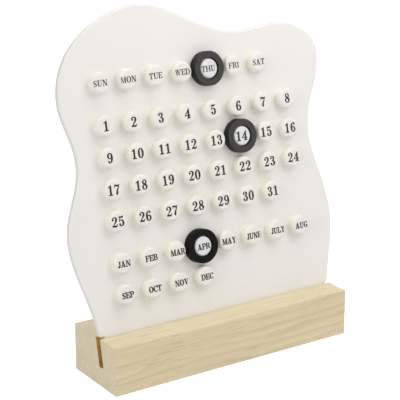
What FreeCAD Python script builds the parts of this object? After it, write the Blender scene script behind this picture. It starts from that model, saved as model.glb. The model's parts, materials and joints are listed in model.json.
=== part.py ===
import FreeCAD, Part

import math
import os

# Desk calendar: a wavy white sheet leans back in a slot cut along a pine block.
# Round pegs on the sheet carry the weekdays, the dates and the months.
# Three black rings slip over pegs to mark today.
# Units are millimetres. The origin is the middle of the block's underside:
# +X to the viewer's right, +Y to the back, +Z up.

# Pine block
BLOCK_LENGTH = 176.9
BLOCK_DEPTH = 49.9
BLOCK_HEIGHT = 31.0
BLOCK_EDGE_RADIUS = 0.4

# Slot along the block, leaning back with the sheet
LEAN_DEG = 12.0
SLOT_DEPTH = 18.0
SLOT_SIDE_CLEARANCE = 0.25
SLOT_FLOOR_GAP = 0.1
SHEET_AHEAD_OF_MIDDLE = 6.3
SHEET_LEFT_OF_MIDDLE = 0.8

# Peg grid, on the sheet's front face. The lowest row's height is up the sheet from the block
COLUMNS = 8
WEEKDAYS = 7
DATES = 31
MONTHS = 12
COLUMN_PITCH = 19.33
ROW_PITCH = 19.33
GROUP_GAP = 25.81
LOWEST_ROW_RISE = 24.07

# Wavy sheet. Its margins run from the outer pegs' centres to the furthest reach of the wave
SHEET_THICKNESS = 4.2
SHEET_SIDE_MARGIN = 32.28
SHEET_TOP_MARGIN = 44.6
SHEET_EDGE_RADIUS = 1.4

# The sheet's lower corners are round, a little above the block. Its tongue is narrower and fills the slot
FOOT_GAP = 0.3
FOOT_CORNER_RADIUS = 1.7
TONGUE_INSET = 3.2

# Pegs
PEG_DIAMETER = 13.0
PEG_HEIGHT = 5.8
PEG_EDGE_RADIUS = 1.8
SPIGOT_DIAMETER = 5.0
SPIGOT_LENGTH = 2.4
SPIGOT_SIDE_CLEARANCE = 0.05
SPIGOT_END_GAP = 0.2

# Marker rings
RING_OUTER_DIAMETER = 21.8
RING_THICKNESS = 6.0
RING_BORE_CLEARANCE = 0.25
RING_EDGE_RADIUS = 0.4
RING_SEAT_GAP = 0.1

# One overrun serves every cut
CUT_OVERRUN = 1.0

# Edges this near to a plane, as a share of their piece's diagonal, count as in it
SAME_PLANE_SHARE = 1e-5

# Which peg of its group each ring marks, counted from 0
MARKED_WEEKDAY = 4
MARKED_DATE = 13
MARKED_MONTH = 3

WEEKDAY_NAMES = ["sun", "mon", "tue", "wed", "thu", "fri", "sat"]
MONTH_NAMES = ["jan", "feb", "mar", "apr", "may", "june", "july", "aug", "sep", "oct", "nov", "dec"]

# Turning points of the wave, from the left foot over the top to the right foot.
# Each has its place across (share of the half width) and up (share of the rise),
# the way the edge heads there in degrees, and the lengths of its two handles
# as shares of the chord before it and the chord after it.
# The feet stand as far above the block as the round corners below them need.
WAVE_SHARES = [
    (-0.871, 0.000, 96.0, 0.00, 0.36),
    (-0.996, 0.306, 90.0, 0.32, 0.37),
    (-0.876, 0.534, 90.0, 0.34, 0.42),
    (-0.951, 0.730, 90.0, 0.35, 0.43),
    (-0.343, 1.000, 0.0, 0.28, 0.29),
    (0.399, 0.882, 0.0, 0.37, 0.27),
    (0.673, 0.894, 0.0, 0.36, 0.38),
    (1.000, 0.781, -90.0, 0.35, 0.41),
    (0.867, 0.515, -90.0, 0.47, 0.25),
    (0.975, 0.231, -90.0, 0.36, 0.36),
    (0.892, 0.000, -99.0, 0.32, 0.00),
]

# Handles of a quarter round, as a share of its radius
ROUND_HANDLE_SHARE = 0.55

HALF_TURN_DEG = 180.0
LEAN = math.radians(LEAN_DEG)
TONGUE_LENGTH = SLOT_DEPTH - SLOT_FLOOR_GAP
FOOT_RISE = FOOT_GAP + FOOT_CORNER_RADIUS
GROUPS = [("weekday", WEEKDAYS), ("date", DATES), ("month", MONTHS)]
STEPS_IN_GROUPS = sum((count - 1) // COLUMNS for _, count in GROUPS)
TOP_ROW_RISE = LOWEST_ROW_RISE + STEPS_IN_GROUPS * ROW_PITCH + (len(GROUPS) - 1) * GROUP_GAP
GRID_HALF_WIDTH = (COLUMNS - 1) * COLUMN_PITCH / 2
SHEET_RISE = TOP_ROW_RISE + SHEET_TOP_MARGIN
SHEET_HALF_WIDTH = GRID_HALF_WIDTH + SHEET_SIDE_MARGIN


def sheet_placement():
    """Moves the sheet's own frame into the object's frame.

    The sheet's frame has x across, y up the sheet and z out of its front face,
    with its origin where the middle of the front face meets the top of the block.
    """
    origin = FreeCAD.Vector(-SHEET_LEFT_OF_MIDDLE, -SHEET_AHEAD_OF_MIDDLE, BLOCK_HEIGHT)
    lean_back = FreeCAD.Rotation(FreeCAD.Vector(1, 0, 0), 90.0 - LEAN_DEG)
    return FreeCAD.Placement(origin, lean_back)


def in_place(shape):
    """A copy of a shape of the sheet's frame, set in the object's frame."""
    placed = shape.copy()
    placed.Placement = sheet_placement()
    return placed


def edges_at_height(shape, height):
    """The edges of a shape that lie wholly in the plane z = height."""
    close = shape.BoundBox.DiagonalLength * SAME_PLANE_SHARE
    return [
        edge
        for edge in shape.Edges
        if abs(edge.BoundBox.ZMin - height) < close and abs(edge.BoundBox.ZMax - height) < close
    ]


def wave_edges():
    """The wavy edge of the sheet, as smooth curves from the left foot to the right foot."""
    nodes = []
    for across, up, heading_deg, handle_in, handle_out in WAVE_SHARES:
        heading = math.radians(heading_deg)
        point = FreeCAD.Vector(across * SHEET_HALF_WIDTH, max(up * SHEET_RISE, FOOT_RISE), 0)
        direction = FreeCAD.Vector(math.cos(heading), math.sin(heading), 0)
        nodes.append((point, direction, handle_in, handle_out))
    edges = []
    for (start, start_way, _, leaving), (end, end_way, arriving, _) in zip(nodes, nodes[1:]):
        chord = start.distanceToPoint(end)
        edges.append(smooth_edge(start, start_way * leaving * chord, end_way * arriving * chord, end))
    return edges


def smooth_edge(start, leaving, arriving, end):
    """A curve that leaves its start and reaches its end along two handles."""
    curve = Part.BezierCurve()
    curve.setPoles([start, start + leaving, end - arriving, end])
    return curve.toShape()


def tongue_edges(foot, inward, heading_deg):
    """From a foot of the wave: the round corner, the ledge over the block and the tongue's side.

    inward is the way across from the foot to the sheet's middle. The edges run away from the foot,
    where the wave heads down at heading_deg.
    """
    heading = math.radians(heading_deg)
    down = FreeCAD.Vector(math.cos(heading), math.sin(heading), 0)
    handle = ROUND_HANDLE_SHARE * FOOT_CORNER_RADIUS
    corner_end = FreeCAD.Vector(foot.x + inward.x * FOOT_CORNER_RADIUS, FOOT_GAP, 0)
    tongue_head = FreeCAD.Vector(foot.x + inward.x * TONGUE_INSET, FOOT_GAP, 0)
    tongue_foot = FreeCAD.Vector(tongue_head.x, -TONGUE_LENGTH, 0)
    return [
        smooth_edge(foot, down * handle, inward * handle, corner_end),
        Part.makeLine(corner_end, tongue_head),
        Part.makeLine(tongue_head, tongue_foot),
    ], tongue_foot


def peg_grid():
    """The peg places on the sheet, as (group, index, across, up)."""
    places = []
    row_rise = TOP_ROW_RISE
    for group, count in GROUPS:
        for index in range(count):
            row, column = divmod(index, COLUMNS)
            across = column * COLUMN_PITCH - GRID_HALF_WIDTH
            places.append((group, index, across, row_rise - row * ROW_PITCH))
        row_rise -= (count - 1) // COLUMNS * ROW_PITCH + GROUP_GAP
    return places


def wave_sheet():
    """White sheet: wavy outline, rounded edges, and a blind hole behind each peg."""
    curves = wave_edges()
    across = FreeCAD.Vector(1, 0, 0)
    left_edges, left_corner = tongue_edges(curves[0].Vertexes[0].Point, across, WAVE_SHARES[0][2] - HALF_TURN_DEG)
    right_edges, right_corner = tongue_edges(curves[-1].Vertexes[-1].Point, -across, WAVE_SHARES[-1][2])
    foot_line = Part.makeLine(left_corner, right_corner)
    outline = Part.Wire(Part.__sortEdges__(curves + left_edges + right_edges + [foot_line]))
    face = Part.Face(outline)
    sheet = face.extrude(FreeCAD.Vector(0, 0, -SHEET_THICKNESS))
    rims = edges_at_height(sheet, 0) + edges_at_height(sheet, -SHEET_THICKNESS)
    sheet = sheet.makeFillet(SHEET_EDGE_RADIUS, rims)
    hole_depth = SPIGOT_LENGTH + SPIGOT_END_GAP
    hole_radius = SPIGOT_DIAMETER / 2 + SPIGOT_SIDE_CLEARANCE
    holes = [
        Part.makeCylinder(
            hole_radius, hole_depth + CUT_OVERRUN, FreeCAD.Vector(across, up, -hole_depth)
        )
        for _, _, across, up in peg_grid()
    ]
    return in_place(sheet.cut(Part.makeCompound(holes)))


def slot_cut():
    """The slot's space, in the sheet's frame: as long as the block and open at the top."""
    length = BLOCK_LENGTH + 2 * CUT_OVERRUN
    width = SHEET_THICKNESS + 2 * SLOT_SIDE_CLEARANCE
    # The back wall leaves the block's top this much further up the lean than the front wall
    above_top = width * math.tan(LEAN) + CUT_OVERRUN
    left_end = SHEET_LEFT_OF_MIDDLE - length / 2
    corner = FreeCAD.Vector(left_end, -SLOT_DEPTH, -SHEET_THICKNESS - SLOT_SIDE_CLEARANCE)
    return in_place(Part.makeBox(length, SLOT_DEPTH + above_top, width, corner))


def pine_block():
    """Pine block with eased edges and a leaning slot from end to end."""
    corner = FreeCAD.Vector(-BLOCK_LENGTH / 2, -BLOCK_DEPTH / 2, 0)
    block = Part.makeBox(BLOCK_LENGTH, BLOCK_DEPTH, BLOCK_HEIGHT, corner)
    block = block.makeFillet(BLOCK_EDGE_RADIUS, block.Edges)
    return block.cut(slot_cut())


def peg(across, up):
    """Round peg with an eased front edge, and a spigot that is glued into the sheet."""
    foot = FreeCAD.Vector(across, up, 0)
    head = Part.makeCylinder(PEG_DIAMETER / 2, PEG_HEIGHT, foot)
    head = head.makeFillet(PEG_EDGE_RADIUS, edges_at_height(head, PEG_HEIGHT))
    spigot = Part.makeCylinder(
        SPIGOT_DIAMETER / 2, SPIGOT_LENGTH, FreeCAD.Vector(across, up, -SPIGOT_LENGTH)
    )
    return in_place(head.fuse(spigot).removeSplitter())


def marker_ring(across, up):
    """Black ring that slips over a peg and shows its face through the bore."""
    seat = FreeCAD.Vector(across, up, RING_SEAT_GAP)
    ring = Part.makeCylinder(RING_OUTER_DIAMETER / 2, RING_THICKNESS, seat)
    bore_start = FreeCAD.Vector(across, up, RING_SEAT_GAP - CUT_OVERRUN)
    bore = Part.makeCylinder(
        PEG_DIAMETER / 2 + RING_BORE_CLEARANCE, RING_THICKNESS + 2 * CUT_OVERRUN, bore_start
    )
    ring = ring.cut(bore)
    rims = edges_at_height(ring, RING_SEAT_GAP) + edges_at_height(ring, RING_SEAT_GAP + RING_THICKNESS)
    return in_place(ring.makeFillet(RING_EDGE_RADIUS, rims))


def node_name(group, index):
    """The name of a peg, such as peg_date_14."""
    if group == "weekday":
        return "peg_" + WEEKDAY_NAMES[index]
    if group == "month":
        return "peg_" + MONTH_NAMES[index]
    return "peg_date_%02d" % (index + 1)


def build():
    """Every piece of the calendar, by name."""
    marked = {("weekday", MARKED_WEEKDAY), ("date", MARKED_DATE), ("month", MARKED_MONTH)}
    pieces = {"pine_block": pine_block(), "wave_sheet": wave_sheet()}
    for group, index, across, up in peg_grid():
        pieces[node_name(group, index)] = peg(across, up)
        if (group, index) in marked:
            pieces[group + "_ring"] = marker_ring(across, up)
    return pieces


def save(pieces):
    """Writes one file per piece."""
    os.makedirs("parts", exist_ok=True)
    for name, shape in pieces.items():
        if not shape.isValid():
            raise ValueError(name + " is not a valid solid")
        shape.exportStep("parts/" + name + ".step")
        print("%-14s solids %d  volume %.1f" % (name, len(shape.Solids), shape.Volume))


save(build())
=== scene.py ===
"""A perpetual desk calendar: a white wave sheet with round date pegs that leans in a pine block."""

import json
import math

import bmesh
import bpy
from bpy.props import FloatProperty, FloatVectorProperty, PointerProperty
from bpy.types import Operator, Panel, PropertyGroup
from mathutils import Matrix, Vector
from mathutils.geometry import delaunay_2d_cdt


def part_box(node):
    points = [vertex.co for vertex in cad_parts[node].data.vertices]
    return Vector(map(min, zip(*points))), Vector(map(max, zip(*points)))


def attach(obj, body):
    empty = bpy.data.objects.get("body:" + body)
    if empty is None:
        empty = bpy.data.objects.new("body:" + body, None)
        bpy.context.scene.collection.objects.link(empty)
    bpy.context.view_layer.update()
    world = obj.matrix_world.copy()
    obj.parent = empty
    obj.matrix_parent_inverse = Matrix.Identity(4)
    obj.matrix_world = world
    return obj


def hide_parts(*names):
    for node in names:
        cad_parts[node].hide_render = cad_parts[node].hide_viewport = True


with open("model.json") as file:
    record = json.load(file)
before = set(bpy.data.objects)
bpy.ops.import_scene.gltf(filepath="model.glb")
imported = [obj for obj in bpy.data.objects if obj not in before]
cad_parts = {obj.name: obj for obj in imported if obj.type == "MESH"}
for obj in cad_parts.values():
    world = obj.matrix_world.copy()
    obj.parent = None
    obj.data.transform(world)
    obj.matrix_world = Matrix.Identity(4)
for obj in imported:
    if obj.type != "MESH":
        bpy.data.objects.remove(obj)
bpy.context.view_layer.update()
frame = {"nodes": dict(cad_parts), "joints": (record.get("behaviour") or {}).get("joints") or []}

bl_info = {
    "name": "Perpetual Desk Calendar",
    "version": (1, 0, 0),
    "blender": (4, 5, 0),
    "location": "View3D > Sidebar > Calendar",
    "description": "Dresses the frame of a perpetual desk calendar with pine, acrylic, pegs and print",
    "category": "Object",
}

NODES = frame["nodes"]
AXES = {joint["name"]: Vector(joint["axis"]).normalized() for joint in frame["joints"]}
ACROSS = Vector((1.0, 0.0, 0.0))
AWAY = Vector((0.0, 1.0, 0.0))
UPWARD = Vector((0.0, 0.0, 1.0))
UP_SHEET = AXES["sheet_lift"]
OUT_OF_SHEET = AXES["date_ring_pull"]
PEGS = sorted(name for name in NODES if name.startswith("peg_"))
RINGS = {"weekday_ring": "peg_thu", "date_ring": "peg_date_14", "month_ring": "peg_apr"}
WEEKDAYS = ("SUN", "MON", "TUE", "WED", "THU", "FRI", "SAT")


def screen_colour(red, green, blue):
    """The scene-linear colour of three display levels from 0 to 255."""
    levels = (red / 255.0, green / 255.0, blue / 255.0)
    return tuple(v / 12.92 if v <= 0.04045 else ((v + 0.055) / 1.055) ** 2.4 for v in levels)


def reach(node, axis):
    """The least and the greatest place of a CAD node's vertices along an axis."""
    places = [vertex.co.dot(axis) for vertex in NODES[node].data.vertices]
    return min(places), max(places)


def size_property(name, description, default):
    return FloatProperty(
        name=name, description=description, default=default, min=0.0, unit="LENGTH", precision=5
    )


def shift_property(name, description, default):
    return FloatProperty(name=name, description=description, default=default, unit="LENGTH", precision=5)


def power_property(name, description, default):
    return FloatProperty(name=name, description=description, default=default, subtype="POWER")


def factor_property(name, description, default):
    return FloatProperty(name=name, description=description, default=default)


def colour_property(name, description, *levels):
    """A colour whose default is given as three display levels from 0 to 255."""
    shown = screen_colour(*levels)
    return FloatVectorProperty(
        name=name, description=description, default=shown, subtype="COLOR", size=3, min=0.0, max=1.0
    )


class BlockValues(PropertyGroup):
    """Sizes and colours of the pine block."""

    edge_radius: size_property("Edge radius", "Rounding of the block's outer edges", 0.0004)
    sanding: size_property("Sanding", "How deep hand sanding has eaten into the edges at most", 0.00005)
    slot_gap: size_property("Slot gap", "Room between the sheet and each wall of the slot", 0.00025)
    foot_gap: size_property("Foot gap", "Room between the sheet's foot and the slot's floor", 0.0001)
    tear: size_property("Tear", "How rough the cutter left the slot's walls", 0.0003)
    early_wood: colour_property("Early wood", "Pale wood between the rings", 228, 213, 181)
    late_wood: colour_property("Late wood", "Darker line of each ring", 212, 196, 157)
    dash_colour: colour_property("Dashes", "Resin dashes along the grain", 172, 150, 108)
    scorch_colour: colour_property("Scorch", "Browned walls of the slot", 203, 155, 90)
    char_colour: colour_property("Char", "Darkest specks of the slot's walls", 166, 120, 64)
    # Painted light: the rim colour is browned wood made lighter and golden, standing in for the light that
    # reaches the top of the slot.
    rim_colour: colour_property("Scorched rim", "Golden wood at the top of the slot", 198, 158, 76)


class SheetValues(PropertyGroup):
    """Colours of the white sheet."""

    face_colour: colour_property("Face", "White of the sheet's faces", 239, 236, 231)
    cut_colour: colour_property("Cut edge", "White of the sheet's cut edge", 220, 218, 212)


class PegValues(PropertyGroup):
    """Colours of the pegs and the rings."""

    face_colour: colour_property("Peg face", "Ivory of a peg's face", 236, 233, 227)
    # Painted light and shade: the side gets a lighter, yellower ivory than the face, standing in for the
    # light on a peg's side and its yellow shade.
    side_colour: colour_property("Peg side", "Ivory of a peg's side", 239, 237, 223)
    # Painted shade: a darker, cooler white for the face of a peg inside a ring, where the ring shades it.
    marked_colour: colour_property("Marked peg", "White of a peg inside a ring", 227, 227, 228)
    ring_colour: colour_property("Ring face", "Black of a ring's face", 56, 54, 51)
    # Painted shade: a ring's side is given a far darker black than its face, for the shade on it.
    ring_side_colour: colour_property("Ring side", "Black of a ring's side", 14, 13, 6)
    # Painted shade: the ring black made darker for the month's ring, which is the same ring as the others.
    dark_ring_colour: colour_property("Month ring", "Deeper black of the month's ring", 14, 14, 13)


class PrintValues(PropertyGroup):
    """Sizes and colour of the printed words and dates."""

    letter_height: size_property("Letter height", "Height of a capital letter", 0.00365)
    figure_height: size_property("Figure height", "Height of a date's figures", 0.0061)
    widest: size_property("Widest word", "Width that a longer word is condensed to", 0.0111)
    weekday_weight: size_property("Weekday weight", "Ink added all round the strokes of a weekday", 0.00004)
    date_weight: size_property("Date weight", "Ink added all round the strokes of a date", 0.0001)
    month_weight: size_property("Month weight", "Ink added all round the strokes of a month", 0.00013)
    weekday_shift: shift_property(
        "Weekday shift", "How far right of the middle the weekdays are printed", -0.0008
    )
    date_shift: shift_property("Date shift", "How far right of the middle the dates are printed", -0.0006)
    month_shift: shift_property("Month shift", "How far right of the middle the months are printed", 0.0002)
    weekday_drop: size_property("Weekday drop", "How far below the middle the weekdays are printed", 0.0001)
    month_drop: size_property("Month drop", "How far below the middle the months are printed", 0.00025)
    weekday_stretch: factor_property("Weekday stretch", "Width of a weekday over its drawn width", 1.05)
    rise: size_property("Ink rise", "How far the ink stands above the peg", 0.00002)
    depth: size_property("Ink depth", "Thickness of the ink with the part that is in the peg", 0.00005)
    ink_colour: colour_property("Ink", "Black of the print", 46, 44, 39)


class StageValues(PropertyGroup):
    """The floor, the lamps and the camera."""

    floor_radius: size_property("Floor radius", "Radius of the round floor", 3.6)
    floor_glow: factor_property("Floor glow", "Glow of the floor as it is seen", 0.9)
    floor_light: factor_property("Floor light", "Glow of the floor as it lights the calendar", 0.33)
    key_power: power_property("Key", "Power of the near lamp at the front right", 1.14)
    fill_power: power_property("Fill", "Power of the lamp at the left", 5.6)
    top_power: power_property("Top", "Power of the lamp overhead", 2.1)
    back_power: power_property("Back", "Power of the lamp behind", 4.0)
    ambient: factor_property("Ambient", "Strength of the white room as a light", 0.50)
    lens: FloatProperty(name="Lens", description="Focal length", default=122.39, unit="CAMERA")
    distance: size_property("Distance", "From the camera to the point it turns about", 0.8544)


def deselect_all():
    if bpy.context.object and bpy.context.object.mode != "OBJECT":
        bpy.ops.object.mode_set(mode="OBJECT")
    bpy.ops.object.select_all(action="DESELECT")


def make_active(thing):
    deselect_all()
    thing.select_set(True)
    bpy.context.view_layer.objects.active = thing


def apply_modifier(thing, kind, **settings):
    """Adds one modifier with its settings and applies it."""
    make_active(thing)
    modifier = thing.modifiers.new(kind.lower(), kind)
    for name, value in settings.items():
        setattr(modifier, name, value)
    bpy.ops.object.modifier_apply(modifier=modifier.name)


# The least cosine between an edge and an axis that it is taken to run along
PARALLEL = 0.999


def length_along(edge, axis):
    """The length of an edge that runs along an axis, and 0 for any other edge."""
    run = edge.verts[1].co - edge.verts[0].co
    return run.length if abs(run.normalized().dot(axis)) > PARALLEL else 0.0


def cut_along(thing, axis, spacing):
    """In edit mode, cuts the long edges along an axis into lengths of about the spacing."""
    bpy.ops.mesh.select_all(action="DESELECT")
    shape = bmesh.from_edit_mesh(thing.data)
    longest = max(length_along(edge, axis) for edge in shape.edges)
    for edge in shape.edges:
        edge.select = length_along(edge, axis) > spacing
    shape.select_flush_mode()
    bmesh.update_edit_mesh(thing.data)
    bpy.ops.mesh.subdivide(number_cuts=max(1, round(longest / spacing) - 1))


def cut_up(thing, spacing):
    """Cuts the active box along all three axes."""
    bpy.ops.object.mode_set(mode="EDIT")
    for axis in (ACROSS, AWAY, UPWARD):
        cut_along(thing, axis, spacing)
    bpy.ops.object.mode_set(mode="OBJECT")


def roughen(thing, group, weight_of, clouds, size, middle, strength):
    """Pushes the faces in and out by a cloud pattern, by each vertex's weight in a group."""
    weights = thing.vertex_groups.new(name=group)
    for vertex in thing.data.vertices:
        weights.add([vertex.index], weight_of(vertex.co), "REPLACE")
    texture = bpy.data.textures.new(clouds, "CLOUDS")
    texture.noise_scale = size
    texture.noise_depth = 2
    apply_modifier(thing, "DISPLACE", texture=texture, texture_coords="LOCAL",
                   mid_level=middle, strength=strength, vertex_group=group)


# Shader helpers


def add_node(tree, kind, inputs=None, **settings):
    """Adds a node, sets its settings, and sets or joins its inputs."""
    node = tree.nodes.new(kind)
    for name, value in settings.items():
        setattr(node, name, value)
    for key, value in (inputs or {}).items():
        socket = node.inputs[key]
        if isinstance(value, bpy.types.NodeSocket):
            tree.links.new(value, socket)
        elif hasattr(value, "__len__") and len(value) == 3 and socket.type == "RGBA":
            socket.default_value = (*value, 1.0)
        else:
            socket.default_value = value
    return node


def calc(tree, operation, first, second=0.0, third=0.0, clamp=False):
    inputs = {0: first, 1: second, 2: third}
    return add_node(tree, "ShaderNodeMath", inputs, operation=operation, use_clamp=clamp).outputs[0]


def product(tree, first, *others):
    """All the levels multiplied together."""
    for other in others:
        first = calc(tree, "MULTIPLY", first, other)
    return first


def remap(tree, value, low, high, to_low=0.0, to_high=1.0):
    """A smooth step from to_low to to_high while value goes from low to high."""
    inputs = {0: value, 1: low, 2: high, 3: to_low, 4: to_high}
    return add_node(tree, "ShaderNodeMapRange", inputs, interpolation_type="SMOOTHSTEP").outputs[0]


def mix_colour(tree, share, first, second, blend="MIX"):
    inputs = {0: share, 6: first, 7: second}
    return add_node(tree, "ShaderNodeMix", inputs, data_type="RGBA", blend_type=blend).outputs[2]


def tinted(tree, colour, tint):
    """A colour that is multiplied by a tint, channel by channel."""
    return mix_colour(tree, 1.0, colour, tint, "MULTIPLY")


def along(tree, vector, axis):
    """How far a place lies along an axis."""
    return add_node(tree, "ShaderNodeVectorMath", {0: vector, 1: axis}, operation="DOT_PRODUCT").outputs[1]


def new_group(name, inputs, outputs):
    """An empty shader group with named sockets: each input is (name, kind, default)."""
    tree = bpy.data.node_groups.new(name, "ShaderNodeTree")
    for label, kind, default in inputs:
        socket = tree.interface.new_socket(label, in_out="INPUT", socket_type="NodeSocket" + kind)
        if default is not None:
            socket.default_value = default
    for label in outputs:
        tree.interface.new_socket(label, in_out="OUTPUT", socket_type="NodeSocketFloat")
    return tree, tree.nodes.new("NodeGroupInput"), tree.nodes.new("NodeGroupOutput")


# Nearly all of the noise lies between these levels
NOISE_SPAN = (0.28, 0.72)


def grain_group():
    """Soft noise of a real size in metres, drawn out along the axes, as a level and as a height."""
    name = "surface_grain"
    if name in bpy.data.node_groups:
        return bpy.data.node_groups[name]
    tree, given, result = new_group(
        name,
        [
            ("Place", "Vector", None),
            ("Size", "Float", 0.001),
            ("Draw Out", "Vector", (1.0, 1.0, 1.0)),
            ("Detail", "Float", 3.0),
            ("Low", "Float", 0.0),
            ("High", "Float", 1.0),
        ],
        ["Level", "Height"],
    )
    per_size = add_node(tree, "ShaderNodeVectorMath", {0: given.outputs["Place"]}, operation="SCALE")
    tree.links.new(calc(tree, "DIVIDE", 1.0, given.outputs["Size"]), per_size.inputs["Scale"])
    drawing = {0: per_size.outputs[0], 1: given.outputs["Draw Out"]}
    drawn = add_node(tree, "ShaderNodeVectorMath", drawing, operation="DIVIDE")
    pattern = {"Vector": drawn.outputs[0], "Scale": 1.0, "Detail": given.outputs["Detail"]}
    noise = add_node(tree, "ShaderNodeTexNoise", pattern)
    level = remap(tree, noise.outputs[0], *NOISE_SPAN, given.outputs["Low"], given.outputs["High"])
    tree.links.new(level, result.inputs["Level"])
    tree.links.new(noise.outputs[0], result.inputs["Height"])
    return tree


def front_group():
    """1 where the surface faces along an axis, and 0 on its sides."""
    name = "front_mask"
    if name in bpy.data.node_groups:
        return bpy.data.node_groups[name]
    tree, given, result = new_group(
        name,
        [
            ("Normal", "Vector", None),
            ("Axis", "Vector", (0.0, 0.0, 1.0)),
            ("From", "Float", 0.5),
            ("To", "Float", 0.95),
        ],
        ["Front"],
    )
    facing = along(tree, given.outputs["Normal"], given.outputs["Axis"])
    front = remap(tree, calc(tree, "ABSOLUTE", facing), given.outputs["From"], given.outputs["To"])
    tree.links.new(front, result.inputs["Front"])
    return tree


def grain(tree, place, size, low=0.0, high=1.0, draw_out=(1.0, 1.0, 1.0), detail=3.0):
    """The level and the height of a surface_grain group placed in a material."""
    inputs = {"Place": place, "Size": size, "Low": low, "High": high, "Draw Out": draw_out, "Detail": detail}
    node = add_node(tree, "ShaderNodeGroup", inputs, node_tree=grain_group())
    return node.outputs["Level"], node.outputs["Height"]


def front_mask(tree, normal, axis, start=0.5, end=0.95):
    """The level of a front_mask group placed in a material."""
    inputs = {"Normal": normal, "Axis": axis, "From": start, "To": end}
    return add_node(tree, "ShaderNodeGroup", inputs, node_tree=front_group()).outputs["Front"]


def new_material(name):
    """A material with an empty surface: its tree, its shader, and the object's place and normal."""
    material = bpy.data.materials.new(name)
    material.use_nodes = True
    tree = material.node_tree
    coordinates = tree.nodes.new("ShaderNodeTexCoord")
    shader = tree.nodes["Principled BSDF"]
    return material, tree, shader, coordinates.outputs["Object"], coordinates.outputs["Normal"]


def bump(tree, shader, height, depth, strength=1.0, base=None):
    inputs = {"Strength": strength, "Distance": depth, "Height": height}
    if base is not None:
        inputs["Normal"] = base
    node = add_node(tree, "ShaderNodeBump", inputs)
    tree.links.new(node.outputs[0], shader.inputs["Normal"])
    return node.outputs[0]


def shade(tree, colour, level):
    """A colour made lighter or darker by a level round 1."""
    return add_node(tree, "ShaderNodeVectorMath", {0: colour, "Scale": level}, operation="SCALE").outputs[0]


# How the rings lie in the board: the angle to the block, and the place of the tree's pith
BOARD_TILT = math.radians(1.6)
PITH_BEHIND = 0.062
PITH_BELOW = 0.046
RING_PITCH = 0.0037

# The places along y between which the warmer wood at the front ends, and the tints of the faces; the front
# and back faces' darker, yellower tint is painted shade
FRONT_BAND = (-0.0152, -0.0146)
BAND_TINT = (1.02, 1.0, 0.99)
END_TINT = (0.965, 0.985, 1.04)
LONG_FACE_SHADE_TINT = (0.966, 0.97, 0.935)

# From how far outside the slot nothing is browned, and from how far all is
WALL_NONE = 0.0011
WALL_ALL = 0.0009
TOP_FADE = 0.0001

# The browned halo round the slot's end, and the golden rim, above the slot's floor; the rim is browned wood
# painted lighter and golden, painted light where light reaches into the slot's top
HALO_NONE = 0.00035
HALO_ALL = 0.0001
HALO_BELOW = 0.0004
HALO_STRENGTH = 0.85
RIM_START = 0.0115
RIM_END = 0.0165


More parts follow.
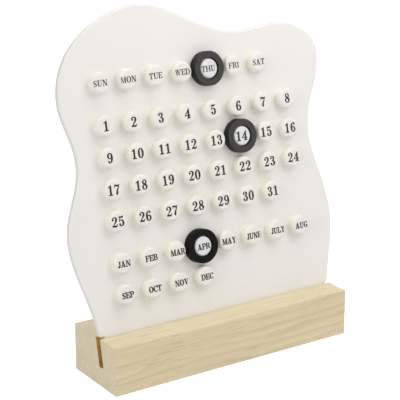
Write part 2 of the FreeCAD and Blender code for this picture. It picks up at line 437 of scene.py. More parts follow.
def pine_material(values, slot_middle, slot_half_width, slot_floor, top):
    """Bare sanded pine with faint rings, streaks and resin dashes, and a slot browned by the cutter, whose
    top is painted golden as painted light on the browned wood.
    """
    material, tree, shader, place, normal = new_material("sanded_pine")
    tilt = {"Vector": place, "Rotation": (0.0, BOARD_TILT, 0.0)}
    board = add_node(tree, "ShaderNodeMapping", tilt).outputs[0]
    _, y, z = add_node(tree, "ShaderNodeSeparateXYZ", {0: board}).outputs
    wander, _ = grain(tree, board, 0.022, -0.0022, 0.0022, (5.0, 1.0, 1.0))
    ripple, _ = grain(tree, board, 0.006, -0.0005, 0.0005, (6.0, 1.0, 1.0))
    beside_pith = calc(tree, "POWER", calc(tree, "SUBTRACT", y, PITH_BEHIND), 2.0)
    above_pith = calc(tree, "POWER", calc(tree, "ADD", z, PITH_BELOW), 2.0)
    radius = calc(tree, "SQRT", calc(tree, "ADD", beside_pith, above_pith))
    radius = calc(tree, "ADD", calc(tree, "ADD", radius, wander), ripple)
    ring_place = calc(tree, "FRACT", calc(tree, "DIVIDE", radius, RING_PITCH))
    late = product(tree, remap(tree, ring_place, 0.3, 0.9), remap(tree, ring_place, 1.0, 0.9))
    strength, _ = grain(tree, board, 0.03, 0.1, 0.8, (4.0, 1.0, 1.0))
    wood = mix_colour(tree, product(tree, late, strength), values.early_wood, values.late_wood)
    streaks, streak_height = grain(tree, board, 0.0011, 0.972, 1.02, (32.0, 1.0, 1.0), 4.0)
    bands, _ = grain(tree, board, 0.0045, 0.972, 1.022, (14.0, 1.0, 1.0), 1.0)
    cloud, _ = grain(tree, board, 0.02, 0.98, 1.02, (3.0, 1.0, 1.0))
    wood = shade(tree, wood, product(tree, streaks, bands, cloud))
    dashes, _ = grain(tree, board, 0.0008, 0.0, 1.0, (22.0, 1.0, 1.0), 1.0)
    dashes = remap(tree, dashes, 0.86, 1.0, 0.0, 0.45)
    patches, _ = grain(tree, board, 0.014, 0.0, 1.0, (2.5, 1.0, 1.0))
    dashes = product(tree, dashes, remap(tree, patches, 0.45, 0.8))
    wood = mix_colour(tree, dashes, wood, values.dash_colour)
    end_face = front_mask(tree, normal, ACROSS, 0.6, 0.95)
    pores, pore_height = grain(tree, board, 0.0007, 0.93, 1.03, (40.0, 1.0, 1.0), 2.0)
    end_wood = shade(tree, tinted(tree, wood, END_TINT), pores)
    wood = mix_colour(tree, end_face, wood, end_wood)
    band = remap(tree, calc(tree, "ADD", y, ripple), *FRONT_BAND)
    wood = mix_colour(tree, band, tinted(tree, wood, BAND_TINT), wood)
    # Painted shade: the front and back faces are tinted darker and yellower than the top.
    shaded_long_faces = front_mask(tree, normal, AWAY, 0.6, 0.95)
    wood = mix_colour(tree, shaded_long_faces, wood, tinted(tree, wood, LONG_FACE_SHADE_TINT))

    off_middle = calc(tree, "ABSOLUTE", calc(tree, "SUBTRACT", along(tree, place, OUT_OF_SHEET), slot_middle))
    up = along(tree, place, UP_SHEET)
    beside = remap(tree, off_middle, slot_half_width + WALL_NONE, slot_half_width + WALL_ALL)
    above = remap(tree, up, slot_floor - WALL_NONE, slot_floor - WALL_ALL)
    inside = calc(tree, "SUBTRACT", 1.0, front_mask(tree, normal, ACROSS, 0.75, 0.95))
    wall = product(tree, beside, above, inside, remap(tree, along(tree, place, UPWARD), top, top - TOP_FADE))
    ragged, _ = grain(tree, place, 0.0013, -0.0003, 0.0003, (1.0, 1.0, 1.0), 4.0)
    torn_side = calc(tree, "ADD", off_middle, ragged)
    beside = remap(tree, torn_side, slot_half_width + HALO_NONE, slot_half_width + HALO_ALL)
    above = remap(tree, calc(tree, "ADD", up, ragged), slot_floor - HALO_BELOW, slot_floor)
    halo = product(tree, beside, above, end_face, HALO_STRENGTH)
    char, _ = grain(tree, place, 0.0016, 0.0, 1.0, (1.0, 1.0, 1.0), 4.0)
    browned = mix_colour(tree, char, values.scorch_colour, values.char_colour)
    # Painted light: the top of the slot's walls turns golden where light reaches in.
    rim = remap(tree, up, slot_floor + RIM_START, slot_floor + RIM_END)
    browned = mix_colour(tree, rim, browned, values.rim_colour)
    scorched = calc(tree, "MAXIMUM", wall, halo)
    tree.links.new(mix_colour(tree, scorched, wood, browned), shader.inputs["Base Color"])
    polish, _ = grain(tree, board, 0.004, 0.5, 0.64, (4.0, 1.0, 1.0))
    tree.links.new(remap(tree, end_face, 0.0, 1.0, polish, 0.74), shader.inputs["Roughness"])
    fine = bump(tree, shader, streak_height, 0.00004, 0.5)
    bump(tree, shader, product(tree, pore_height, end_face), 0.00008, 0.6, fine)
    shader.inputs["Specular IOR Level"].default_value = 0.35
    return material


def acrylic_material(values):
    """Satin white acrylic whose cut edge is a little greyer, with the cutter's fine marks across it."""
    material, tree, shader, place, normal = new_material("white_acrylic")
    face = front_mask(tree, normal, OUT_OF_SHEET, 0.35, 0.9)
    colour = mix_colour(tree, face, values.cut_colour, values.face_colour)
    cloud, _ = grain(tree, place, 0.05, 0.99, 1.008)
    tree.links.new(shade(tree, colour, cloud), shader.inputs["Base Color"])
    smudge, _ = grain(tree, place, 0.018, 0.30, 0.40)
    tree.links.new(remap(tree, face, 0.0, 1.0, 0.46, smudge), shader.inputs["Roughness"])
    _, peel = grain(tree, place, 0.009)
    _, marks = grain(tree, place, 0.0004, 0.0, 1.0, (1.0, 12.0, 1.0))
    surface = bump(tree, shader, peel, 0.0001, 0.35)
    marks = product(tree, marks, calc(tree, "SUBTRACT", 1.0, face))
    bump(tree, shader, marks, 0.00004, 0.5, surface)
    shader.inputs["Coat Weight"].default_value = 0.15
    shader.inputs["Coat Roughness"].default_value = 0.2
    return material


def peg_material(name, face_colour, side_colour):
    """Moulded ivory resin, each peg a shade of its own, the face whiter than the side; the side's lighter,
    yellower colour is painted light and painted yellow shade.
    """
    material, tree, shader, place, normal = new_material(name)
    face = front_mask(tree, normal, OUT_OF_SHEET, 0.25, 0.97)
    # Face and side differ by painted light and shade: the side colour is lighter and yellower.
    colour = mix_colour(tree, face, side_colour, face_colour)
    batch, _ = grain(tree, place, 0.017, 0.985, 1.01)
    tree.links.new(shade(tree, colour, batch), shader.inputs["Base Color"])
    smooth, _ = grain(tree, place, 0.004, 0.34, 0.46)
    tree.links.new(smooth, shader.inputs["Roughness"])
    _, skin = grain(tree, place, 0.0008)
    bump(tree, shader, skin, 0.00003, 0.35)
    return material


RING_SHINE = 0.3
# The month ring reflects less; with its darker colour this paints the shade on it.
DARK_RING_SHINE = 0.1


def ring_material(name, face_colour, side_colour, shine):
    """Matte black with a fine grain, and a darker side that is painted shade. A lower shine reflects less of
    the room.
    """
    material, tree, shader, place, normal = new_material(name)
    face = front_mask(tree, normal, OUT_OF_SHEET, 0.4, 0.95)
    # The side's darker colour is painted shade.
    colour = mix_colour(tree, face, side_colour, face_colour)
    speck, speck_height = grain(tree, place, 0.0005, 0.86, 1.12)
    tree.links.new(shade(tree, colour, speck), shader.inputs["Base Color"])
    matte, _ = grain(tree, place, 0.003, 0.5, 0.64)
    tree.links.new(matte, shader.inputs["Roughness"])
    bump(tree, shader, speck_height, 0.00004, 0.6)
    shader.inputs["Specular IOR Level"].default_value = shine
    return material


def ink_material(values):
    """Printed black with the small unevenness of a stamped ink."""
    material, tree, shader, place, _ = new_material("print_ink")
    density, density_height = grain(tree, place, 0.0005, 0.8, 1.25)
    tree.links.new(shade(tree, values.ink_colour, density), shader.inputs["Base Color"])
    tree.links.new(grain(tree, place, 0.002, 0.5, 0.62)[0], shader.inputs["Roughness"])
    bump(tree, shader, density_height, 0.00001, 0.4)
    shader.inputs["Specular IOR Level"].default_value = 0.25
    return material


def dress(node, material):
    for material_slot in NODES[node].material_slots:
        material_slot.material = material


# The print is drawn in units of a letter's height

THICK = 0.185
THIN = 0.065
SLAB = 0.055
REACH = 0.085
BRACKET = 0.075


def slant(foot_left, head_left, foot_width, head_width=None, low=0.0, high=1.0):
    """A straight stroke that leans, cut level at both ends."""
    foot_right = foot_left + foot_width
    head_right = head_left + (foot_width if head_width is None else head_width)
    return [[(foot_left, low), (foot_right, low), (head_right, high), (head_left, high)]]


def bar(left, right, low, high):
    return slant(left, left, right - left, low=low, high=high)


def serif(left, right, stem_left, stem_right, level, turn):
    """A bracketed serif on a level. turn is 1 at the foot of a stroke and -1 at its head."""
    slab = level + turn * SLAB
    tip = slab + turn * BRACKET
    dip = slab + turn * BRACKET * 0.22
    shape = [(left, level), (right, level), (right, slab)]
    if right > stem_right:
        shape.append((stem_right + (right - stem_right) * 0.3, dip))
    shape += [(stem_right, tip), (stem_left, tip)]
    if left < stem_left:
        shape.append((stem_left - (stem_left - left) * 0.3, dip))
    shape.append((left, slab))
    return [shape]


def stem(left, width=THICK, foot=(REACH, REACH), head=(REACH, REACH), low=0.0, high=1.0):
    """An upright stroke with serifs that reach out to the left and the right."""
    right = left + width
    shapes = bar(left, right, low, high)
    if foot:
        shapes += serif(left - foot[0], right + foot[1], left, right, low, 1)
    if head:
        shapes += serif(left - head[0], right + head[1], left, right, high, -1)
    return shapes


def bowl(centre, radii, thick, thin, start, end, steps=16):
    """A curved stroke: the band between an ellipse and a smaller one inside it."""
    shapes = []
    turns = [math.radians(start + (end - start) * step / steps) for step in range(steps + 1)]
    for first, second in zip(turns, turns[1:]):
        corners = []
        for turn, across, rise in (
            (first, radii[0], radii[1]),
            (second, radii[0], radii[1]),
            (second, radii[0] - thick, radii[1] - thin),
            (first, radii[0] - thick, radii[1] - thin),
        ):
            corners.append((centre[0] + across * math.cos(turn), centre[1] + rise * math.sin(turn)))
        shapes.append(corners)
    return shapes


def sweep(*nodes, steps=6):
    """A stroke that runs smoothly through its nodes (x, y, width)."""
    points = [Vector(node) for node in nodes]
    points = [2 * points[0] - points[1], *points, 2 * points[-1] - points[-2]]
    line = []
    for a, b, c, d in zip(points, points[1:], points[2:], points[3:]):
        for step in range(steps):
            t = step / steps
            squared = (2 * a - 5 * b + 4 * c - d) * t**2
            cubed = (3 * b - a - 3 * c + d) * t**3
            line.append(0.5 * (2 * b + (c - a) * t + squared + cubed))
    line.append(points[-2])
    sides = []
    for index, point in enumerate(line):
        ahead = line[min(index + 1, len(line) - 1)] - line[max(index - 1, 0)]
        across = Vector((-ahead.y, ahead.x)).normalized() * point.z / 2
        sides.append(((point.x + across.x, point.y + across.y), (point.x - across.x, point.y - across.y)))
    return [[a[0], a[1], b[1], b[0]] for a, b in zip(sides, sides[1:])]


def ball(x, y, radius, steps=16):
    turns = [2 * math.pi * step / steps for step in range(steps)]
    return [[(x + radius * math.cos(turn), y + radius * math.sin(turn)) for turn in turns]]


def turned(shapes, width):
    """The same strokes turned half round."""
    return [[(width - x, 1.0 - y) for x, y in shape] for shape in shapes]


def thickened(shape, spread):
    """A polygon grown by a little ink on every side."""
    if sum(a[0] * b[1] - b[0] * a[1] for a, b in zip(shape, shape[1:] + shape[:1])) < 0:
        shape = shape[::-1]
    corners = [Vector(corner) for corner in shape]
    corners = [b for a, b in zip(corners[-1:] + corners, corners) if (b - a).length > 1e-6]
    grown = []
    for before, corner, after in zip(corners[-1:] + corners, corners, corners[1:] + corners[:1]):
        come = (corner - before).normalized()
        leave = (after - corner).normalized()
        outward = Vector((come.y, -come.x)) + Vector((leave.y, -leave.x))
        if outward.length < 0.2:
            outward = come - leave
        outward.normalize()
        share = max(0.6, outward.dot(Vector((come.y, -come.x))))
        grown.append(tuple(corner + outward * spread / share))
    return grown


def letters():
    """Width and strokes of each letter, bold and condensed with fine serifs."""
    left_only = (REACH, 0.0)
    back = stem(0.09, foot=left_only, head=left_only)
    fine_stem = bar(0.14, 0.205, 0, 1) + serif(0.03, 0.315, 0.14, 0.205, 0, 1)
    arm_top = bar(0.25, 0.70, 1 - THIN, 1.0) + [[(0.56, 0.95), (0.72, 1.0), (0.72, 0.69), (0.685, 0.69)]]
    arm_middle = bar(0.25, 0.52, 0.475, 0.475 + THIN)
    arm_middle += [[(0.46, 0.50), (0.53, 0.65), (0.56, 0.65), (0.56, 0.36), (0.53, 0.36)]]
    round_c = bowl((0.41, 0.5), (0.39, 0.512), THICK * 1.12, THIN, 48, 300) + sweep(
        (0.60, 0.05, 0.09), (0.70, 0.16, 0.05), (0.745, 0.30, 0.045)
    )
    beak = [[(0.56, 0.93), (0.69, 1.0), (0.72, 1.0), (0.72, 0.66), (0.69, 0.66), (0.62, 0.82)]]
    return {
        "A": (0.90, slant(0.11, 0.37, 0.075) + slant(0.55, 0.33, 0.225, 0.175) + bar(0.19, 0.62, 0.26, 0.325)
              + serif(0.01, 0.29, 0.11, 0.185, 0, 1) + serif(0.46, 0.89, 0.55, 0.775, 0, 1)),
        "B": (0.79, back + bar(0.25, 0.46, 1 - THIN, 1)
              + bar(0.25, 0.48, 0.5, 0.5 + THIN) + bar(0.25, 0.48, 0, THIN)
              + bowl((0.45, 0.755), (0.275, 0.245), THICK, THIN, -90, 90)
              + bowl((0.47, 0.2825), (0.31, 0.2825), THICK * 1.08, THIN, -90, 90)),
        "C": (0.76, round_c + beak),
        "D": (0.87, back + bar(0.25, 0.44, 1 - THIN, 1)
              + bar(0.25, 0.44, 0, THIN) + bowl((0.43, 0.5), (0.42, 0.5), THICK * 1.15, THIN, -90, 90)),
        "E": (0.76, back + arm_top + arm_middle
              + bar(0.25, 0.73, 0, THIN) + [[(0.56, 0.05), (0.71, 0.34), (0.745, 0.34), (0.745, 0.0)]]),
        "F": (0.73, stem(0.09, head=left_only) + arm_top + arm_middle),
        "G": (0.86, round_c + beak + bar(0.575, 0.76, 0.04, 0.40)
              + serif(0.49, 0.845, 0.575, 0.76, 0.43, -1)),
        "H": (0.93, stem(0.09) + stem(0.655) + bar(0.25, 0.68, 0.465, 0.465 + THIN)),
        "I": (0.365, stem(0.09)),
        "J": (0.55, bar(0.27, 0.455, 0.2, 1.0) + serif(0.17, 0.55, 0.27, 0.455, 1.0, -1)
              + sweep((0.3625, 0.26, 0.185), (0.34, 0.12, 0.15), (0.25, 0.03, 0.075), (0.13, 0.03, 0.06),
                      (0.06, 0.10, 0.05)) + ball(0.12, 0.15, 0.10)),
        "L": (0.75, stem(0.09, foot=left_only) + bar(0.25, 0.72, 0, THIN)
              + [[(0.53, 0.05), (0.695, 0.37), (0.73, 0.37), (0.73, 0.0)]]),
        "M": (1.09, fine_stem + serif(0.03, 0.2, 0.14, 0.2, 1, -1) + slant(0.48, 0.12, 0.09, 0.225)
              + slant(0.505, 0.80, THIN) + stem(0.80, head=(0.0, REACH))),
        "N": (0.93, fine_stem + serif(0.02, 0.2, 0.14, 0.2, 1, -1) + slant(0.625, 0.11, 0.19, 0.215)
              + bar(0.75, 0.815, 0, 1) + serif(0.64, 0.925, 0.75, 0.815, 1, -1)),
        "O": (0.84, bowl((0.42, 0.5), (0.415, 0.512), THICK * 1.15, THIN, 0, 360, 32)),
        "P": (0.75, stem(0.09) + bar(0.25, 0.46, 1 - THIN, 1) + bar(0.25, 0.46, 0.43, 0.43 + THIN)
              + bowl((0.45, 0.715), (0.295, 0.285), THICK * 1.05, THIN, -90, 90)),
        "R": (0.89, stem(0.09) + bar(0.25, 0.46, 1 - THIN, 1) + bar(0.25, 0.46, 0.48, 0.48 + THIN)
              + bowl((0.45, 0.74), (0.285, 0.26), THICK, THIN, -90, 90)
              + sweep((0.42, 0.52, 0.08), (0.56, 0.40, 0.17), (0.63, 0.20, 0.185), (0.70, 0.05, 0.12),
                      (0.80, 0.02, 0.06), (0.87, 0.09, 0.045))),
        "S": (0.69, sweep((0.60, 0.72, 0.04), (0.53, 0.90, 0.06), (0.35, 0.965, 0.08), (0.155, 0.84, 0.14),
                          (0.17, 0.66, 0.185), (0.36, 0.50, 0.205), (0.53, 0.33, 0.185), (0.52, 0.14, 0.14),
                          (0.33, 0.035, 0.08), (0.15, 0.11, 0.06), (0.075, 0.30, 0.04))
              + bar(0.585, 0.62, 0.68, 1.0) + bar(0.055, 0.09, 0.0, 0.33)),
        "T": (0.79, stem(0.30, head=None) + bar(0.03, 0.755, 1 - THIN, 1)
              + [[(0.03, 1.0), (0.20, 0.95), (0.065, 0.69), (0.03, 0.69)],
                 [(0.755, 1.0), (0.585, 0.95), (0.72, 0.69), (0.755, 0.69)]]),
        "U": (0.87, bar(0.12, 0.305, 0.3, 1.0) + serif(0.02, 0.41, 0.12, 0.305, 1, -1)
              + sweep((0.2125, 0.42, THICK), (0.2125, 0.27, THICK), (0.27, 0.10, 0.16), (0.43, 0.03, 0.09),
                      (0.61, 0.09, 0.07), (0.6975, 0.28, THIN), (0.6975, 0.42, THIN))
              + bar(0.665, 0.73, 0.4, 1.0) + serif(0.56, 0.85, 0.665, 0.73, 1, -1)),
        "V": (0.85, slant(0.385, 0.10, 0.12, 0.215) + slant(0.44, 0.68, 0.06, 0.065)
              + serif(0.0, 0.41, 0.10, 0.315, 1, -1) + serif(0.57, 0.85, 0.68, 0.745, 1, -1)),
        "W": (1.19, slant(0.315, 0.09, 0.10, 0.2) + slant(0.355, 0.55, 0.06, 0.065)
              + slant(0.72, 0.48, 0.10, 0.2) + slant(0.76, 1.02, 0.06, 0.065)
              + serif(0.0, 0.38, 0.09, 0.29, 1, -1) + serif(0.41, 0.77, 0.48, 0.68, 1, -1)
              + serif(0.92, 1.19, 1.02, 1.085, 1, -1)),
        "Y": (0.87, slant(0.335, 0.09, 0.19, 0.21, 0.42) + slant(0.46, 0.69, 0.06, 0.065, 0.43)
              + bar(0.34, 0.525, 0, 0.46) + serif(0.24, 0.625, 0.34, 0.525, 0, 1)
              + serif(0.0, 0.40, 0.09, 0.30, 1, -1) + serif(0.59, 0.87, 0.69, 0.755, 1, -1)),
    }


def figures():
    """Width and strokes of each figure, with thick sides, fine joins and round ends."""
    low_hook = [(0.545, 0.30, 0.20), (0.49, 0.11, 0.15), (0.33, 0.03, 0.065), (0.16, 0.07, 0.055),
                (0.095, 0.19, 0.05)]
    six = sweep((0.56, 0.84, 0.05), (0.50, 0.945, 0.06), (0.37, 0.965, 0.065), (0.21, 0.84, 0.14),
                (0.14, 0.60, 0.195), (0.135, 0.38, 0.20), (0.19, 0.13, 0.15), (0.34, 0.03, 0.065),
                (0.49, 0.12, 0.14), (0.55, 0.29, 0.18), (0.50, 0.47, 0.13), (0.36, 0.56, 0.06),
                (0.21, 0.46, 0.06)) + ball(0.50, 0.825, 0.088)
    return {
        "0": (0.68, bowl((0.34, 0.5), (0.325, 0.508), 0.205, 0.055, 0, 360, 36)),
        "1": (0.68, stem(0.26, 0.19, foot=(0.17, 0.15), head=None, high=0.97)
              + [[(0.09, 0.85), (0.09, 0.795), (0.27, 0.83), (0.45, 0.80), (0.45, 1.0), (0.385, 1.0),
                  (0.26, 0.90)]]),
        "2": (0.68, ball(0.165, 0.745, 0.098)
              + sweep((0.085, 0.74, 0.05), (0.14, 0.90, 0.06), (0.31, 0.965, 0.07), (0.49, 0.88, 0.15),
                      (0.535, 0.71, 0.20), (0.45, 0.51, 0.15), (0.26, 0.28, 0.075), (0.09, 0.08, 0.06))
              + sweep((0.06, 0.045, 0.09), (0.19, 0.105, 0.15), (0.36, 0.085, 0.17), (0.50, 0.075, 0.14),
                      (0.59, 0.15, 0.07), (0.625, 0.27, 0.045))),
        "3": (0.68, ball(0.175, 0.795, 0.095)
              + sweep((0.10, 0.80, 0.05), (0.17, 0.93, 0.055), (0.33, 0.967, 0.065), (0.47, 0.88, 0.14),
                      (0.495, 0.75, 0.18), (0.42, 0.59, 0.11), (0.26, 0.535, 0.06))
              + sweep((0.26, 0.535, 0.06), (0.44, 0.50, 0.11), *low_hook) + ball(0.175, 0.205, 0.105)),
        "4": (0.70, stem(0.355, 0.19, foot=(0.13, 0.12), head=None, high=0.8)
              + [[(0.355, 0.78), (0.545, 0.78), (0.545, 1.0), (0.50, 1.0)]]
              + [[(0.015, 0.31), (0.015, 0.25), (0.10, 0.29), (0.52, 0.93), (0.545, 1.0), (0.49, 1.0)]]
              + bar(0.015, 0.675, 0.25, 0.31)),
        "5": (0.68, sweep((0.105, 0.975, 0.05), (0.20, 0.925, 0.12), (0.36, 0.905, 0.155),
                          (0.50, 0.935, 0.13), (0.57, 1.0, 0.05)) + bar(0.12, 0.175, 0.47, 0.96)
              + sweep((0.145, 0.49, 0.05), (0.25, 0.605, 0.06), (0.40, 0.62, 0.085), (0.52, 0.49, 0.17),
                      *low_hook)
              + ball(0.175, 0.205, 0.105)),
        "6": (0.68, six),
        "7": (0.68, sweep((0.095, 0.90, 0.13), (0.22, 0.925, 0.15), (0.40, 0.875, 0.155), (0.53, 0.90, 0.10),
                          (0.61, 0.975, 0.05)) + bar(0.06, 0.105, 0.70, 1.0)
              + sweep((0.60, 0.97, 0.05), (0.50, 0.72, 0.08), (0.37, 0.45, 0.14), (0.30, 0.20, 0.20),
                      (0.295, 0.08, 0.215)) + ball(0.295, 0.105, 0.108)),
        "8": (0.68, bowl((0.335, 0.755), (0.245, 0.25), 0.135, 0.055, 0, 360, 30)
              + bowl((0.335, 0.275), (0.30, 0.28), 0.165, 0.055, 0, 360, 30)
              + sweep((0.17, 0.74, 0.13), (0.24, 0.62, 0.16), (0.42, 0.46, 0.18), (0.535, 0.30, 0.15))),
        "9": (0.68, turned(six, 0.68)),
    }


LETTER_GAP = 0.035
FIGURE_GAP = 0.085


def label_of(peg):
    """The word or date of a peg, from the end of its node's name."""
    word = peg.split("_")[-1]
    return str(int(word)) if word.isdigit() else word.upper()


def union_of(shapes):
    """One flat mesh of all that the polygons cover: places and triangles."""
    places = []
    faces = []
    for shape in shapes:
        faces.append(list(range(len(places), len(places) + len(shape))))
        places.extend(Vector(corner) for corner in shape)
    corners, _, triangles, _, _, covered_by = delaunay_2d_cdt(places, [], faces, 0, 1e-7)
    return corners, [triangle for triangle, origins in zip(triangles, covered_by) if origins]


def label_shapes(text, values):
    """All the strokes of a label in metres, centred, with the weight and the shift of its group."""
    if text.isdigit():
        table, height, gap = figures(), values.figure_height, FIGURE_GAP
        spread, shift, drop, stretch = values.date_weight, values.date_shift, 0.0, 1.0
    else:
        table, height, gap = letters(), values.letter_height, LETTER_GAP
        spread, shift, drop, stretch = values.month_weight, values.month_shift, values.month_drop, 1.0
        if text in WEEKDAYS:
            spread, shift = values.weekday_weight, values.weekday_shift
            drop, stretch = values.weekday_drop, values.weekday_stretch
    placed = []
    start = 0.0
    for sign in text:
        width, shapes = table[sign]
        placed += [thickened([(x + start, y) for x, y in shape], spread / height) for shape in shapes]
        start += width + gap
    ends = [x for shape in placed for x, _ in shape]
    middle = (min(ends) + max(ends)) / 2
    squeeze = min(stretch, values.widest / ((max(ends) - min(ends)) * height))

    def on_peg(x, y):
        return (x - middle) * height * squeeze + shift, (y - 0.5) * height - drop

    return [[on_peg(x, y) for x, y in shape] for shape in placed]


# How far above its peg a label is laid out before it is wrapped to it
LAYOUT_HEIGHT = 0.0003


def print_label(peg, values, ink):
    """The printed word or date of one peg, wrapped to the peg's face."""
    text = label_of(peg)
    flat, triangles = union_of(label_shapes(text, values))
    centre = sum(reach(peg, ACROSS)) / 2, sum(reach(peg, UP_SHEET)) / 2
    above = reach(peg, OUT_OF_SHEET)[1] + LAYOUT_HEIGHT
    places = [
        ACROSS * (centre[0] + point.x) + UP_SHEET * (centre[1] + point.y) + OUT_OF_SHEET * above
        for point in flat
    ]
    mesh = bpy.data.meshes.new("print_" + peg[4:])
    mesh.from_pydata(places, [], triangles)
    label = bpy.data.objects.new(mesh.name, mesh)
    bpy.context.scene.collection.objects.link(label)
    if mesh.polygons[0].normal.dot(OUT_OF_SHEET) < 0:
        mesh.flip_normals()
    make_active(label)
    bpy.ops.object.mode_set(mode="EDIT")
    bpy.ops.mesh.select_all(action="SELECT")
    bpy.ops.mesh.subdivide(number_cuts=2)
    bpy.ops.object.mode_set(mode="OBJECT")
    apply_modifier(label, "SHRINKWRAP", target=NODES[peg], wrap_method="NEAREST_SURFACEPOINT",
                   wrap_mode="ABOVE_SURFACE", offset=values.rise)
    apply_modifier(label, "SOLIDIFY", thickness=values.depth, offset=-1.0)
    mesh.materials.append(ink)
    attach(label, "sheet")


# Sizes that give the block its mesh, its sanded edges and its torn slot
BLOCK_CELL = 0.0025
SLOT_CELL = 0.0008
SANDED_CLOUDS = 0.011
TORN_CLOUDS = 0.0013
WORN_REACH = 0.004
TORN_REACH = 0.004
LEAST_TEAR = 0.35
PAST_TOP = 0.006
PAST_ENDS = 0.004
TEAR_RANGE = 2.4
SMOOTH_BELOW = math.radians(38)


class CALENDAR_OT_block(Operator):
    """Model the pine block: sanded edges, and a slot with torn and browned walls"""

    bl_idname = "calendar.block"
    bl_label = "Pine Block"
    bl_options = {"REGISTER", "UNDO"}

    def execute(self, context):
        values = context.scene.calendar_block
        low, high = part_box("pine_block")
        deselect_all()
        bpy.ops.mesh.primitive_cube_add(size=1.0, location=(low + high) / 2, scale=high - low)
        block = context.object
        block.name = "sanded_pine_block"
        block.data.name = block.name
        bpy.ops.object.transform_apply(location=True, rotation=True, scale=True)
        bpy.ops.object.mode_set(mode="EDIT")
        bpy.ops.mesh.select_all(action="SELECT")
        bpy.ops.mesh.bevel(offset=values.edge_radius, segments=4, profile=0.5, affect="EDGES")
        cut_up(block, BLOCK_CELL)

        def worn_share(place):
            """1 at the block's edges and 0 away from them."""
            inward = sorted(min(at - least, most - at) for at, least, most in zip(place, low, high))
            return max(0.0, min(1.0, 1.4 - inward[1] / WORN_REACH))

        roughen(block, "worn", worn_share, "sanding", SANDED_CLOUDS, 1.0, values.sanding)

        back, front = reach("wave_sheet", OUT_OF_SHEET)
        width = front - back + 2 * values.slot_gap
        floor = reach("wave_sheet", UP_SHEET)[0] - values.foot_gap
        top = high.z + PAST_TOP
        middle = (front + back) / 2
        deselect_all()
        bpy.ops.mesh.primitive_cube_add(size=1.0, scale=(high.x - low.x + PAST_ENDS, width, top - floor))
        cutter = context.object
        bpy.ops.object.transform_apply(location=False, rotation=False, scale=True)
        cut_up(cutter, SLOT_CELL)
        half_length = (high.x - low.x) / 2

        def torn_share(place):
            """1 at the slot's ends and less between them."""
            return max(LEAST_TEAR, min(1.0, 1.3 - (half_length - abs(place.x)) / TORN_REACH))

        roughen(cutter, "torn", torn_share, "tearing", TORN_CLOUDS, 0.4, values.tear * TEAR_RANGE)
        turn = Matrix((ACROSS, -OUT_OF_SHEET, UP_SHEET)).transposed().to_4x4()
        centre = OUT_OF_SHEET * middle + UP_SHEET * (floor + top) / 2
        cutter.data.transform(Matrix.Translation(centre) @ turn)
        apply_modifier(block, "BOOLEAN", operation="DIFFERENCE", object=cutter, solver="EXACT")
        bpy.data.objects.remove(cutter)
        make_active(block)
        bpy.ops.object.shade_smooth_by_angle(angle=SMOOTH_BELOW)
        block.data.materials.clear()
        block.data.materials.append(pine_material(values, middle, width / 2, floor, high.z))
        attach(block, "block")
        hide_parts("pine_block")
        return {"FINISHED"}


class CALENDAR_OT_sheet(Operator):
    """Give the wave sheet its satin white acrylic"""

    bl_idname = "calendar.sheet"
    bl_label = "Wave Sheet"
    bl_options = {"REGISTER", "UNDO"}

    def execute(self, context):
        dress("wave_sheet", acrylic_material(context.scene.calendar_sheet))
        return {"FINISHED"}


class CALENDAR_OT_pegs(Operator):
    """Give the pegs their ivory resin"""

    bl_idname = "calendar.pegs"
    bl_label = "Pegs"
    bl_options = {"REGISTER", "UNDO"}

    def execute(self, context):
        values = context.scene.calendar_pegs
        plain = peg_material("ivory_resin", values.face_colour, values.side_colour)
        # Pegs inside a ring get the darker face colour as painted shade.
        ring_shaded = peg_material("marked_resin", values.marked_colour, values.side_colour)
        for peg in PEGS:
            dress(peg, ring_shaded if peg in RINGS.values() else plain)
        return {"FINISHED"}


class CALENDAR_OT_rings(Operator):
    """Give the marker rings their matte black"""

    bl_idname = "calendar.rings"
    bl_label = "Marker Rings"
    bl_options = {"REGISTER", "UNDO"}

    def execute(self, context):
        values = context.scene.calendar_pegs
        # The darker side colour paints the shade on the rings' sides.
        side = values.ring_side_colour
        black = ring_material("matte_black", values.ring_colour, side, RING_SHINE)
        dress("weekday_ring", black)
        dress("date_ring", black)
        # The month ring is the same black ring, painted darker as shade.
        dress("month_ring", ring_material("deep_black", values.dark_ring_colour, side, DARK_RING_SHINE))
        return {"FINISHED"}


class CALENDAR_OT_print(Operator):
    """Print the days, the dates and the months on the pegs"""

    bl_idname = "calendar.print"
    bl_label = "Print"
    bl_options = {"REGISTER", "UNDO"}

    def execute(self, context):
        values = context.scene.calendar_print
        ink = ink_material(values)
        for peg in PEGS:
            print_label(peg, values, ink)
        return {"FINISHED"}


def seen_share(tree):
    """1 for rays from the camera, from a gloss and through glass, and 0 for the light itself."""
    path = tree.nodes.new("ShaderNodeLightPath")
    seen = calc(tree, "MAXIMUM", path.outputs["Is Camera Ray"], path.outputs["Is Glossy Ray"])
    return calc(tree, "MAXIMUM", seen, path.outputs["Is Transmission Ray"])


FLOOR_SIDES = 96
FLOOR_LEVEL = -0.0004
FLOOR_GREY = 0.50

# Each lamp's place, the place that it points at, and its width
KEY_LAMP = ((0.26, -0.36, 0.56), (0.0, 0.0, 0.18), 0.45)
TOP_LAMP = ((0.10, -0.12, 1.05), (0.0, 0.0, 0.10), 0.7)
BACK_LAMP = ((0.3, 1.3, 0.8), (0.0, 0.0, 0.08), 1.1)
FILL_LAMP = ((-1.3, -0.5, 0.7), (0.0, 0.0, 0.08), 1.1)

# The camera's angles in degrees, the place that it turns about, and the photograph's framing
AZIMUTH = -34.40
ELEVATION = 17.69
ROLL = 0.28
AIM = Vector((0.0, 0.0, 0.0972))
SHIFT_RIGHT = -0.0375
SHIFT_UP = 0.0197


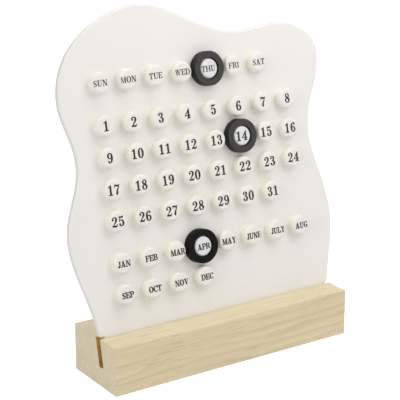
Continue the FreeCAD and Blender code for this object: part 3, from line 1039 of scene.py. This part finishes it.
def floor_material(values):
    """A pale floor that keeps the shadow, is seen as white and gives a little light of its own."""
    material, tree, shader, _, _ = new_material("studio_floor")
    shader.inputs["Base Color"].default_value = (FLOOR_GREY, FLOOR_GREY, FLOOR_GREY, 1.0)
    shader.inputs["Roughness"].default_value = 0.9
    shader.inputs["Specular IOR Level"].default_value = 0.0
    shader.inputs["Emission Color"].default_value = (1.0, 1.0, 1.0, 1.0)
    seen_glow = values.floor_glow - values.floor_light
    glow = calc(tree, "MULTIPLY_ADD", seen_share(tree), seen_glow, values.floor_light)
    tree.links.new(glow, shader.inputs["Emission Strength"])
    return material


def area_lamp(name, place, aim, size, power):
    deselect_all()
    turn = (Vector(aim) - Vector(place)).to_track_quat("-Z", "Y").to_euler()
    bpy.ops.object.light_add(type="AREA", location=place, rotation=turn)
    lamp = bpy.context.object
    lamp.name = name
    lamp.data.shape = "DISK"
    lamp.data.size = size
    lamp.data.energy = power


def white_room(scene, values):
    """An even white room that is seen as plain white."""
    world = bpy.data.worlds.new("studio")
    world.use_nodes = True
    scene.world = world
    tree = world.node_tree
    background = tree.nodes["Background"]
    background.inputs["Color"].default_value = (1.0, 1.0, 1.0, 1.0)
    level = calc(tree, "MULTIPLY_ADD", seen_share(tree), 1.0 - values.ambient, values.ambient)
    tree.links.new(level, background.inputs["Strength"])


def set_camera(scene, values):
    """The camera of the photograph: turned left of the front, above the table, with a slight roll."""
    azimuth, elevation, roll = math.radians(AZIMUTH), math.radians(ELEVATION), math.radians(ROLL)
    back = Vector((math.sin(azimuth) * math.cos(elevation), -math.cos(azimuth) * math.cos(elevation),
                   math.sin(elevation)))
    level = Vector((math.cos(azimuth), math.sin(azimuth), 0.0))
    rise = back.cross(level)
    right = level * math.cos(roll) + rise * math.sin(roll)
    up = rise * math.cos(roll) - level * math.sin(roll)
    place = AIM + back * values.distance
    deselect_all()
    bpy.ops.object.camera_add(location=place)
    camera = bpy.context.object
    camera.matrix_world = Matrix.Translation(place) @ Matrix((right, up, back)).transposed().to_4x4()
    camera.data.sensor_width = 36.0
    camera.data.lens = values.lens
    camera.data.shift_x = SHIFT_RIGHT
    camera.data.shift_y = SHIFT_UP
    camera.data.clip_start = 0.01
    camera.data.clip_end = 50.0
    scene.camera = camera


class CALENDAR_OT_stage(Operator):
    """Set up the floor, the lamps, the white room and the camera"""

    bl_idname = "calendar.stage"
    bl_label = "Stage"
    bl_options = {"REGISTER", "UNDO"}

    def execute(self, context):
        values = context.scene.calendar_stage
        deselect_all()
        bpy.ops.mesh.primitive_circle_add(
            vertices=FLOOR_SIDES, radius=values.floor_radius, fill_type="NGON",
            location=(0.0, 0.0, FLOOR_LEVEL)
        )
        floor = context.object
        floor.name = "studio_floor"
        bpy.ops.object.transform_apply(location=True, rotation=True, scale=True)
        floor.data.materials.append(floor_material(values))
        area_lamp("key_lamp", *KEY_LAMP, values.key_power)
        area_lamp("top_lamp", *TOP_LAMP, values.top_power)
        area_lamp("back_lamp", *BACK_LAMP, values.back_power)
        area_lamp("fill_lamp", *FILL_LAMP, values.fill_power)
        white_room(context.scene, values)
        set_camera(context.scene, values)
        context.scene.view_settings.view_transform = "Standard"
        return {"FINISHED"}


class CALENDAR_PT_panel(Panel):
    """The calendar's pieces, in the order in which they are made"""

    bl_label = "Desk Calendar"
    bl_idname = "CALENDAR_PT_panel"
    bl_space_type = "VIEW_3D"
    bl_region_type = "UI"
    bl_category = "Calendar"

    def draw(self, context):
        for operator in OPERATORS:
            self.layout.operator(operator.bl_idname)


GROUPS = {
    "calendar_block": BlockValues,
    "calendar_sheet": SheetValues,
    "calendar_pegs": PegValues,
    "calendar_print": PrintValues,
    "calendar_stage": StageValues,
}
OPERATORS = (
    CALENDAR_OT_block,
    CALENDAR_OT_sheet,
    CALENDAR_OT_pegs,
    CALENDAR_OT_rings,
    CALENDAR_OT_print,
    CALENDAR_OT_stage,
)


def register():
    for thing in (*GROUPS.values(), *OPERATORS, CALENDAR_PT_panel):
        bpy.utils.register_class(thing)
    for name, group in GROUPS.items():
        setattr(bpy.types.Scene, name, PointerProperty(type=group))


def unregister():
    for name in GROUPS:
        delattr(bpy.types.Scene, name)
    for thing in reversed((*GROUPS.values(), *OPERATORS, CALENDAR_PT_panel)):
        bpy.utils.unregister_class(thing)


def main():
    register()
    bpy.ops.calendar.block()
    bpy.ops.calendar.sheet()
    bpy.ops.calendar.pegs()
    bpy.ops.calendar.rings()
    bpy.ops.calendar.print()
    bpy.ops.calendar.stage()


if __name__ == "__main__":
    main()
